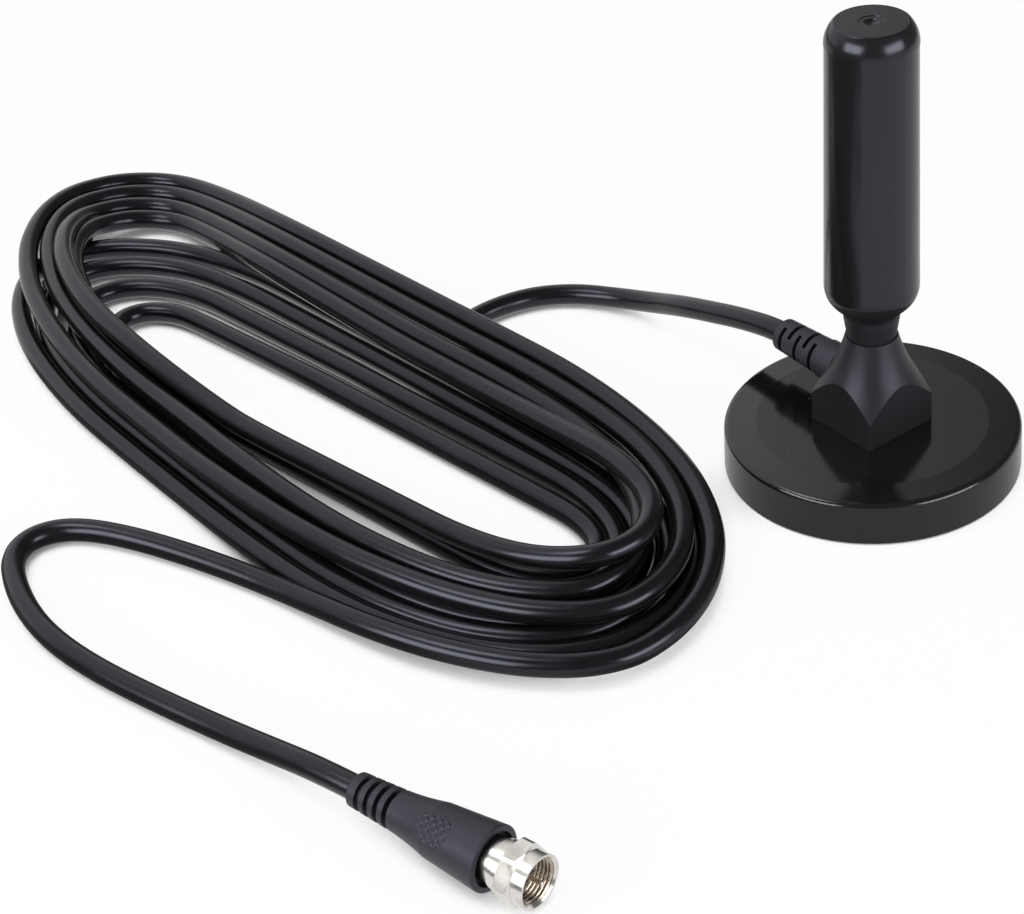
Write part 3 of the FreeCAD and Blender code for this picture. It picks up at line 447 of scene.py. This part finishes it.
# %% Floor
FLOOR_HALF, FLOOR_Z = 4.0, -0.0001
corners = np.array([(-1, -1), (1, -1), (1, 1), (-1, 1)]) * FLOOR_HALF
sheet = bpy.data.meshes.new("floor")
sheet.from_pydata(np.column_stack([corners, np.full(4, FLOOR_Z)]), [], [(0, 1, 2, 3)])
floor = bpy.data.objects.new("floor", sheet)
bpy.context.scene.collection.objects.link(floor)
paper = bpy.data.materials.new("white_paper")
paper.use_nodes = True
tree = paper.node_tree
tree.nodes.clear()
fibre = add(tree, "ShaderNodeTexNoise", Scale=900.0, Detail=4.0).outputs["Fac"]
rough = add(tree, "ShaderNodeMapRange", Value=fibre, To_Min=0.8, To_Max=0.95).outputs[0]
matt = add(tree, "ShaderNodeBsdfPrincipled", Base_Color=(0.86, 0.86, 0.86, 1), Roughness=rough)
spot = add(tree, "ShaderNodeSeparateXYZ", Vector=add(tree, "ShaderNodeTexCoord").outputs["Object"]).outputs
bearing = math_node(tree, "ARCTAN2", spot["Y"], spot["X"])


def distance_to(tree, x, y):
    """Distance on the floor from one point."""
    across = math_node(tree, "SUBTRACT", spot["X"], x)
    along = math_node(tree, "SUBTRACT", spot["Y"], y)
    squares = math_node(tree, "MULTIPLY_ADD", across, across, math_node(tree, "MULTIPLY", along, along))
    return math_node(tree, "SQRT", squares)


# Painted shade in mirrors: to glossy rays the paper glows DIM_SIDE in a wedge on the near side, clear of the
# base and the plug, and beyond FAR_EDGE from the base.
DIM_FROM, DIM_TO, DIM_EDGE = math.radians(-143), math.radians(-66), math.radians(4)
BASE_SPOT, PLUG_SPOT = (0.0, 0.0), (0.045, -0.138)
BASE_CLEAR, PLUG_CLEAR, FAR_EDGE, NEAR_EDGE = (0.05, 0.07), (0.035, 0.06), (0.4, 0.7), (0.09, 0.05)
from_base, from_plug = distance_to(tree, *BASE_SPOT), distance_to(tree, *PLUG_SPOT)
dim = ramp(tree, bearing, DIM_FROM - DIM_EDGE, DIM_FROM)
dim = math_node(tree, "MULTIPLY", dim, ramp(tree, bearing, DIM_TO, DIM_TO - DIM_EDGE))
dim = math_node(tree, "MULTIPLY", dim, ramp(tree, from_base, *BASE_CLEAR))
dim = math_node(tree, "MULTIPLY", dim, ramp(tree, from_plug, *PLUG_CLEAR))
dim = math_node(tree, "MAXIMUM", dim, ramp(tree, from_base, *FAR_EDGE))
near = ramp(tree, from_base, *NEAR_EDGE)
ray = add(tree, "ShaderNodeLightPath").outputs
PAPER_GLOW, GAP_REACH, GAP_EDGE = 0.94, 0.012, (0.32, 0.58)
# Greys the paper glows to glossy rays: the first is painted contact shadow close to the base, the second is
# the plain paper.
CONTACT_SHADE_GREY, FAR_GREY = (0.6, 0.6, 0.6, 1), (0.9, 0.9, 0.9, 1)
gap = add(tree, "ShaderNodeAmbientOcclusion", {"samples": 8}, Distance=GAP_REACH).outputs["AO"]
direct = math_node(tree, "MAXIMUM", ray["Is Camera Ray"], ray["Is Transmission Ray"])
open_paper = math_node(tree, "MULTIPLY", ramp(tree, gap, *GAP_EDGE), PAPER_GLOW)
direct = math_node(tree, "MULTIPLY", direct, open_paper)
mirrored = blend_colours(tree, dim, blend_colours(tree, near, FAR_GREY, CONTACT_SHADE_GREY), DIM_SIDE)
colour = blend_colours(tree, ray["Is Glossy Ray"], WHITE, mirrored)
glow = add(tree, "ShaderNodeEmission", Color=colour, Strength=1.0)
mixed = add(tree, "ShaderNodeMixShader", Fac=math_node(tree, "ADD", direct, ray["Is Glossy Ray"]))
tree.links.new(matt.outputs[0], mixed.inputs[1])
tree.links.new(glow.outputs[0], mixed.inputs[2])
tree.links.new(mixed.outputs[0], add(tree, "ShaderNodeOutputMaterial").inputs["Surface"])
sheet.materials.append(paper)
print("floor:", 2 * FLOOR_HALF, "m square")

# %% Soft boxes
BOXES = {
    "left_box": ((0.0, -1.0, 0.42), 0.8, 0.5, 8.0),
    "right_box": ((0.95, 0.2, 0.32), 0.8, 0.45, 7.0),
    "top_box": ((-0.3, -0.45, 1.05), 0.45, 0.45, 3.2),
}
AIM_AT = np.array([-0.05, -0.06, 0.02])


def soft_box(name, place, wide, high, power):
    """Rectangular lamp that faces the object."""
    lamp = bpy.data.lights.new(name, "AREA")
    lamp.shape, lamp.size, lamp.size_y, lamp.energy = "RECTANGLE", wide, high, power
    made = bpy.data.objects.new(name, lamp)
    away = np.array(place) - AIM_AT
    away = away / np.linalg.norm(away)
    right = np.cross([0, 0, 1], away)
    right = right / np.linalg.norm(right)
    axes = np.column_stack([right, np.cross(away, right), away])
    made.matrix_world = Matrix.Translation(place) @ Matrix(axes.tolist()).to_4x4()
    bpy.context.scene.collection.objects.link(made)


for name, (place, wide, high, power) in BOXES.items():
    soft_box(name, place, wide, high, power)
print("lamps:", ", ".join(BOXES))

# %% [markdown]
# ## Shared surface effects
# Moulded and extruded plastics share three things: a fine skin copied from the mould, faint marks from
# being handled and packed, and a little dust on what faces up. Pictures could be wrapped round each part,
# but noise on the object's own coordinates needs no unwrapping and follows every solid. Each effect is a
# node group with its own inputs, so one material can have a coarse skin and the next a fine one. They only
# give out values; the shaders stay in the materials.

# %% Group: mould skin


def start_group(name, inputs, outputs):
    """New shader group with plain number inputs and outputs; gives back its tree and both ends."""
    made = bpy.data.node_groups.new(name, "ShaderNodeTree")
    for label, value in inputs.items():
        made.interface.new_socket(label, in_out="INPUT", socket_type="NodeSocketFloat").default_value = value
    for label in outputs:
        made.interface.new_socket(label, in_out="OUTPUT", socket_type="NodeSocketFloat")
    return made, made.nodes.new("NodeGroupInput").outputs, made.nodes.new("NodeGroupOutput").inputs


skin, given, result = start_group("mould_skin", {"Grain": 1500.0, "Patches": 60.0}, ["Height", "Patch"])
where = add(skin, "ShaderNodeTexCoord").outputs["Object"]
grain = add(skin, "ShaderNodeTexNoise", Vector=where, Scale=given["Grain"], Detail=5.0, Roughness=0.62)
patch = add(skin, "ShaderNodeTexNoise", Vector=where, Scale=given["Patches"], Detail=3.0, Roughness=0.5)
skin.links.new(grain.outputs["Fac"], result["Height"])
skin.links.new(patch.outputs["Fac"], result["Patch"])
print("group:", skin.name)

# %% Group: handling marks
marks, given, result = start_group("handling_marks", {"Scale": 90.0, "Amount": 0.5}, ["Mask"])
where = add(marks, "ShaderNodeTexCoord").outputs["Object"]
turned = add(marks, "ShaderNodeMapping", Vector=where, Rotation=(0.5, 0.9, 0.7), Scale=(1.0, 9.0, 1.6))
streak = add(marks, "ShaderNodeTexNoise", Vector=turned.outputs[0], Scale=given["Scale"], Detail=6.0)
thin = add(marks, "ShaderNodeMapRange", Value=streak.outputs["Fac"], From_Min=0.6, From_Max=0.78)
marks.links.new(math_node(marks, "MULTIPLY", thin.outputs[0], given["Amount"]), result["Mask"])
print("group:", marks.name)

# %% Group: settled dust
dust, given, result = start_group("settled_dust", {"Scale": 700.0, "Amount": 0.5}, ["Mask"])
where = add(dust, "ShaderNodeTexCoord").outputs["Object"]
cells = add(dust, "ShaderNodeTexVoronoi", Vector=where, Scale=given["Scale"])
dot = add(dust, "ShaderNodeMapRange", Value=cells.outputs["Distance"], From_Min=0.16, From_Max=0.08)
chosen = add(dust, "ShaderNodeSeparateColor", Color=cells.outputs["Color"]).outputs[0]
few = math_node(dust, "GREATER_THAN", chosen, 0.95)
facing = add(dust, "ShaderNodeSeparateXYZ", Vector=add(dust, "ShaderNodeNewGeometry").outputs["Normal"])
upward = math_node(dust, "MAXIMUM", facing.outputs["Z"], 0.0)
specks = math_node(dust, "MULTIPLY", math_node(dust, "MULTIPLY", dot.outputs[0], few), upward)
dust.links.new(math_node(dust, "MULTIPLY", specks, given["Amount"]), result["Mask"])
print("group:", dust.name)

# %% [markdown]
# ## Black plastics
# Every black part is a different plastic: the base and the cap are polished mouldings, the rod is a satin
# tube, the hub has a spark-eroded skin, the bush and the boot are soft and dull, and the cable jacket is
# extruded. Each could be a material of its own, but they differ only in numbers, so one function builds all
# of them from a colour, a range of roughness and the shared effects.

# %% Black plastic finish


def use_group(tree, group, **inputs):
    """Place a shader group in a material with its own values."""
    return add(tree, "ShaderNodeGroup", {"node_tree": group}, **inputs).outputs


def start_material(name):
    """Empty node material with a Principled shader joined to its output."""
    made = bpy.data.materials.new(name)
    made.use_nodes = True
    tree = made.node_tree
    tree.nodes.clear()
    shader = add(tree, "ShaderNodeBsdfPrincipled")
    tree.links.new(shader.outputs[0], add(tree, "ShaderNodeOutputMaterial").inputs["Surface"])
    return made, tree, shader.inputs


DUST_COLOUR, DULL_ROUGHNESS, DULL_EDGE = (0.22, 0.21, 0.2, 1), 0.5, 0.002
COOL, NEUTRAL = (0.8, 0.82, 1.0), (1.0, 1.0, 1.0)
NO_DULL_PART = -1.0
MARK_ROUGHNESS, SPECK_ROUGHNESS, SKIN_STRENGTH = 0.18, 0.4, 0.5


def black_plastic(
    name,
    dark,
    pale,
    rough,
    grain,
    depth,
    wear=0.3,
    dusty=0.3,
    patches=60.0,
    dull_below=NO_DULL_PART,
    shine=0.54,
    tint=COOL,
):
    """Colour drifts from dark to pale in patches; roughness runs over its range and rises on marks and dust.

    Below the height dull_below the surface is at least as rough as DULL_ROUGHNESS.
    """
    made, tree, shader = start_material(name)
    shader["Specular IOR Level"].default_value = shine
    shader["Specular Tint"].default_value = (*tint, 1)
    skin_out = use_group(tree, skin, Grain=grain, Patches=patches)
    mark = use_group(tree, marks, Amount=wear)["Mask"]
    speck = use_group(tree, dust, Amount=dusty)["Mask"]
    tone = blend_colours(tree, skin_out["Patch"], (*dark, 1), (*pale, 1))
    tone = blend_colours(tree, speck, tone, DUST_COLOUR)
    tree.links.new(tone, shader["Base Color"])
    base = add(tree, "ShaderNodeMapRange", Value=skin_out["Patch"], From_Min=0.3, From_Max=0.7)
    base.inputs["To Min"].default_value, base.inputs["To Max"].default_value = rough
    worn = math_node(tree, "MULTIPLY_ADD", mark, MARK_ROUGHNESS, base.outputs[0])
    where = add(tree, "ShaderNodeTexCoord").outputs["Object"]
    height = add(tree, "ShaderNodeSeparateXYZ", Vector=where).outputs["Z"]
    dull = math_node(tree, "MULTIPLY", ramp(tree, height, dull_below + DULL_EDGE, dull_below), DULL_ROUGHNESS)
    worn = math_node(tree, "MAXIMUM", worn, dull)
    tree.links.new(math_node(tree, "MULTIPLY_ADD", speck, SPECK_ROUGHNESS, worn), shader["Roughness"])
    bump = add(tree, "ShaderNodeBump", Height=skin_out["Height"], Strength=SKIN_STRENGTH, Distance=depth)
    tree.links.new(bump.outputs[0], shader["Normal"])
    return made


def dress(material, *names):
    """Give the named CAD solids this material."""
    for name in names:
        data = solids[name].data
        data.materials.clear()
        data.materials.append(material)


print("black plastic ready")

# %% Base, cap, rod, hub
polished = black_plastic(
    "polished_base",
    (0.004,) * 3,
    (0.006,) * 3,
    (0.1, 0.15),
    grain=900.0,
    depth=4e-6,
    wear=0.35,
    dusty=0.35,
    patches=45.0,
    shine=0.5,
    tint=NEUTRAL,
)
dress(polished, "base_cover")
capped = black_plastic(
    "polished_cap",
    (0.006,) * 3,
    (0.009,) * 3,
    (0.2, 0.26),
    grain=1200.0,
    depth=6e-6,
    wear=0.4,
    dusty=0.2,
    patches=90.0,
    shine=0.46,
)
dress(capped, "mast_cap")
NECK_TOP = 0.041
satin = black_plastic(
    "satin_rod",
    (0.004,) * 3,
    (0.007,) * 3,
    (0.17, 0.22),
    grain=2600.0,
    depth=5e-6,
    wear=0.5,
    dusty=0.25,
    patches=80.0,
    dull_below=NECK_TOP,
)
dress(satin, "mast_tube")
eroded = black_plastic(
    "eroded_hub",
    (0.006, 0.006, 0.0065),
    (0.009, 0.009, 0.0095),
    (0.42, 0.5),
    grain=3200.0,
    depth=2.2e-5,
    shine=0.44,
)
dress(eroded, "hub")
print("dressed: base, cap, rod, hub")

# %% Soft bush and boot
soft = black_plastic(
    "soft_moulding",
    (0.009, 0.009, 0.012),
    (0.015, 0.015, 0.019),
    (0.45, 0.55),
    grain=2000.0,
    depth=5e-5,
    wear=0.2,
    dusty=0.2,
)
dress(soft, "strain_relief", "plug_boot")
grip.data.materials.append(soft)
foam = black_plastic("foam_pad", (0.03,) * 3, (0.05,) * 3, (0.85, 0.95), 1800.0, 1.5e-4, wear=0.1, dusty=0.0)
dress(foam, "base_pad")
print("dressed: bush, boot, pad")

# %% Cable jacket
jacket = black_plastic(
    "cable_jacket",
    (0.003,) * 3,
    (0.006,) * 3,
    (0.2, 0.27),
    grain=1500.0,
    depth=8e-6,
    wear=0.45,
    dusty=0.1,
    patches=120.0,
    shine=0.43,
)
path.materials.append(jacket)
print("dressed: cable")

# %% [markdown]
# ## Metals and what is inside
# The plug is nickel-plated brass, bright on its flats; the thread inside the nut is a darker, browner copy
# of the plating, its darkness painted shade of the bore. One even metal would do from afar, but plating
# tarnishes in patches, so the colour drifts between a bright and a tarnished one.
# The parts inside the base and the rod can't be seen in the photograph, but they are there, so they have
# finishes too.

# %% Plated metal
PLATE_PATCHES, PLATE_STRENGTH = 350.0, 0.4
SCRATCHES, SCRATCH_AMOUNT, SCRATCH_ROUGHNESS = 600.0, 0.6, 0.15


def plated(name, bright, tarnished, rough, scale, depth):
    """Metal whose colour goes towards tarnished in patches; fine marks and patches vary the roughness."""
    made, tree, shader = start_material(name)
    shader["Metallic"].default_value = 1.0
    skin_out = use_group(tree, skin, Grain=scale, Patches=PLATE_PATCHES)
    mark = use_group(tree, marks, Scale=SCRATCHES, Amount=SCRATCH_AMOUNT)["Mask"]
    share = add(tree, "ShaderNodeMapRange", Value=skin_out["Patch"], From_Min=0.4, From_Max=0.75).outputs[0]
    tree.links.new(blend_colours(tree, share, (*bright, 1), (*tarnished, 1)), shader["Base Color"])
    base = add(tree, "ShaderNodeMapRange", Value=skin_out["Patch"], From_Min=0.3, From_Max=0.7)
    base.inputs["To Min"].default_value, base.inputs["To Max"].default_value = rough
    worn = math_node(tree, "MULTIPLY_ADD", mark, SCRATCH_ROUGHNESS, base.outputs[0])
    tree.links.new(worn, shader["Roughness"])
    bump = add(tree, "ShaderNodeBump", Height=skin_out["Height"], Strength=PLATE_STRENGTH, Distance=depth)
    tree.links.new(bump.outputs[0], shader["Normal"])
    return made


nickel = plated("nickel_plate", (0.78, 0.76, 0.72), (0.62, 0.58, 0.52), (0.16, 0.28), 1800.0, 1e-5)
dress(nickel, "plug_collar", "plug_nut", "plug_post")
# Darker, browner copy of the plating for the thread: its darkness is painted shade inside the nut's bore.
threaded = plated("nickel_thread", (0.56, 0.5, 0.42), (0.32, 0.25, 0.19), (0.22, 0.34), 1800.0, 1e-5)
thread.data.materials.append(threaded)
tinned = plated("tinned_pin", (0.86, 0.8, 0.72), (0.8, 0.7, 0.58), (0.18, 0.26), 2500.0, 6e-6)
dress(tinned, "plug_pin")
zinc = plated("zinc_steel", (0.6, 0.6, 0.62), (0.5, 0.51, 0.55), (0.3, 0.45), 1500.0, 2e-5)
dress(zinc, "base_yoke", "hub_screws")
copper = plated("bare_copper", (0.8, 0.42, 0.25), (0.6, 0.3, 0.18), (0.25, 0.4), 1500.0, 1e-5)
dress(copper, "element_foil", "feed_wire")
print("dressed: plug, plate, screws, foil, wire")

# %% Ferrite, board and insulator
sintered = black_plastic(
    "sintered_ferrite", (0.06, 0.06, 0.065), (0.11, 0.11, 0.12), (0.6, 0.75), grain=2500.0, depth=4e-5
)
dress(sintered, "base_magnet")
board = black_plastic("bare_board", (0.28, 0.24, 0.1), (0.36, 0.32, 0.14), (0.4, 0.5), 1400.0, 1e-5)
dress(board, "element_board")
insulator = black_plastic("cream_insulator", (0.66, 0.58, 0.45), (0.78, 0.7, 0.56), (0.4, 0.5), 1600.0, 1e-5)
dress(insulator, "plug_core")
print("dressed: magnet, board, insulator")
